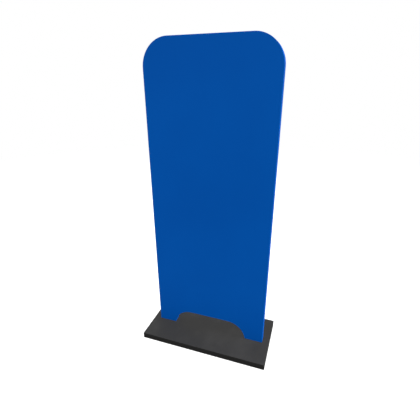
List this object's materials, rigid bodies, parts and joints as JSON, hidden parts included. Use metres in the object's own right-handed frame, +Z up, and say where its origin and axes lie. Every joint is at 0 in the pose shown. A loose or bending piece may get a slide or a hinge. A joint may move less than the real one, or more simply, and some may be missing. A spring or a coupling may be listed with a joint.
{
  "type": "partition wall",
  "caption": "Free-standing blue partition wall with rounded top corners and an arched foot, on a dark hollow weighted base with levelling feet.",
  "frame": {"origin": "on the floor, at the middle of the base", "axes": "+X to the right along the wall seen from its front, +Y through the wall away from the viewer, +Z up"},
  "size_m": [0.9, 0.44, 2],
  "materials": {
    "panel_lacquer": "satin",
    "edge_lipping": "satin",
    "softwood": "matte",
    "plywood": "matte",
    "beech": "matte",
    "dark_powder_coat": "matte",
    "primed_steel": "matte",
    "zinc_plate": "satin",
    "black_glide": "matte"
  },
  "bodies": {
    "wall": {"front_skin": "panel_lacquer", "rear_skin": "panel_lacquer", "edge_band": "edge_lipping", "arch_edge_band": "edge_lipping", "left_stile": "softwood", "right_stile": "softwood", "top_rail": "softwood", "arch_rail": "softwood", "left_corner_block": "plywood", "right_corner_block": "plywood", "left_foot_block": "plywood", "right_foot_block": "plywood", "vertical_ribs": "plywood", "horizontal_ribs": "plywood", "frame_dowels": "beech", "base_cover": "dark_powder_coat", "bottom_pan": "dark_powder_coat", "left_bearer": "primed_steel", "right_bearer": "primed_steel", "front_ballast_plate": "primed_steel", "rear_ballast_plate": "primed_steel", "front_stiffener": "primed_steel", "rear_stiffener": "primed_steel", "cover_bosses": "primed_steel", "levelling_bushes": "primed_steel", "left_foot_plate": "zinc_plate", "right_foot_plate": "zinc_plate", "foot_plate_screws": "zinc_plate", "pan_screws": "zinc_plate", "bearer_screws": "zinc_plate", "ballast_screws": "zinc_plate", "panel_bolts": "zinc_plate", "bolt_washers": "zinc_plate"},
    "front_left_foot": {"front_left_levelling_foot": "zinc_plate", "front_left_glide": "black_glide"},
    "front_right_foot": {"front_right_levelling_foot": "zinc_plate", "front_right_glide": "black_glide"},
    "rear_left_foot": {"rear_left_levelling_foot": "zinc_plate", "rear_left_glide": "black_glide"},
    "rear_right_foot": {"rear_right_levelling_foot": "zinc_plate", "rear_right_glide": "black_glide"}
  },
  "joints": [
    {"name": "front_left_levelling", "type": "slide", "parent": "wall", "child": "front_left_foot", "axis": [0, 0, -1], "range_m": [0, 0.01]},
    {"name": "front_right_levelling", "type": "slide", "parent": "wall", "child": "front_right_foot", "axis": [0, 0, -1], "range_m": [0, 0.01]},
    {"name": "rear_left_levelling", "type": "slide", "parent": "wall", "child": "rear_left_foot", "axis": [0, 0, -1], "range_m": [0, 0.01]},
    {"name": "rear_right_levelling", "type": "slide", "parent": "wall", "child": "rear_right_foot", "axis": [0, 0, -1], "range_m": [0, 0.01]}
  ]
}
